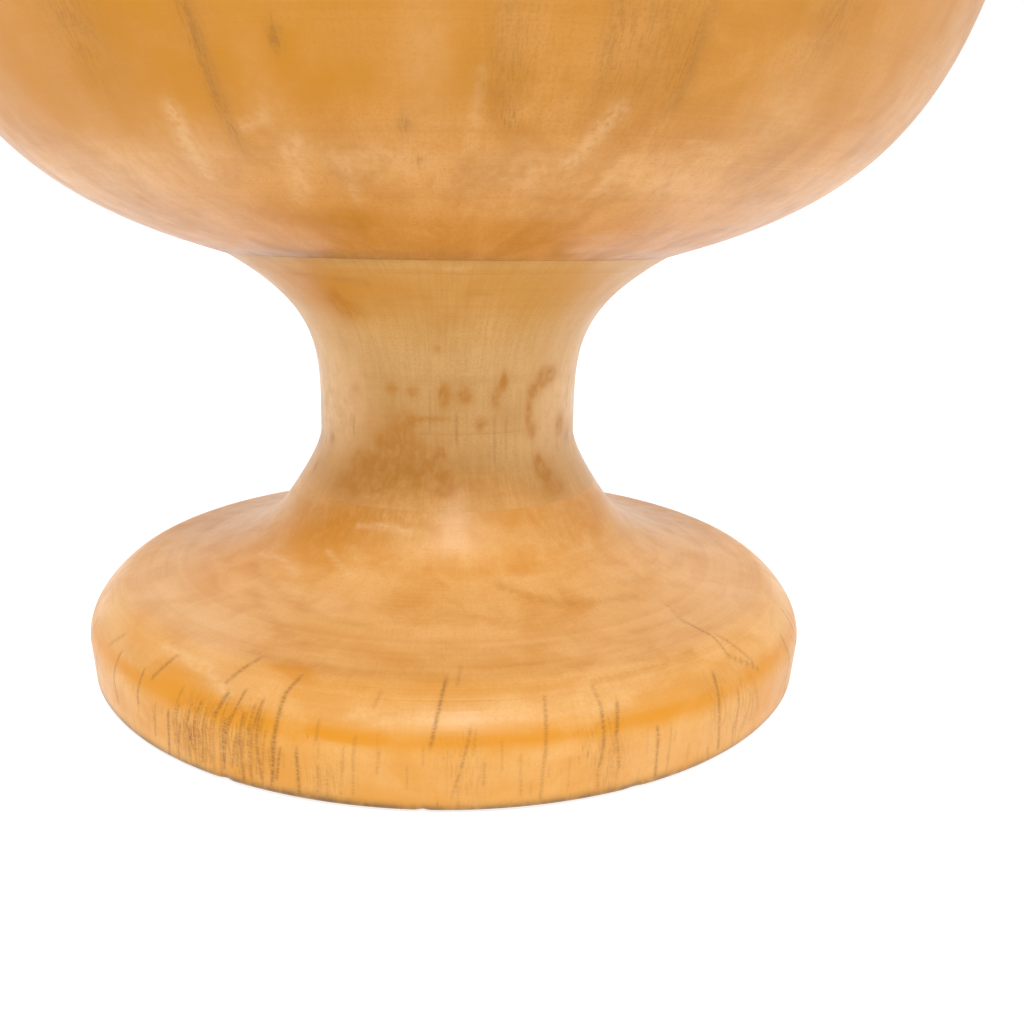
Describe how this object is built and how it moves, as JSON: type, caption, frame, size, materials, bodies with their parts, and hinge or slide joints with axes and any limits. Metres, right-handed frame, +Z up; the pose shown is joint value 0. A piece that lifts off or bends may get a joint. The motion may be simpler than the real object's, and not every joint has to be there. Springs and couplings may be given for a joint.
{
  "type": "chalice",
  "caption": "Turned wooden communion chalice: wide bowl with a gilt liner cup, short waisted stem and round foot with a leather pad, clamped by a hidden tie rod.",
  "frame": {"origin": "centre of the underside, in the plane that the chalice stands on", "axes": "+Z up along the turning axis; X and Y are alike, because the shape is round"},
  "size_m": [0.11, 0.11, 0.1234],
  "materials": {
    "bowl_wood": "clear satin lacquer",
    "stem_wood": "clear satin lacquer",
    "foot_wood": "clear satin lacquer",
    "gilt": "polished gilding on spun brass",
    "brass": "plain turned brass",
    "pad_leather": "dark brown vegetable-tanned leather"
  },
  "bodies": {
    "root": {"liner_cup": "gilt", "cup_boss": "brass", "bowl": "bowl_wood", "stem": "stem_wood", "foot": "foot_wood", "tie_rod": "brass", "washer": "brass", "nut": "brass", "base_pad": "pad_leather"}
  },
  "joints": []
}
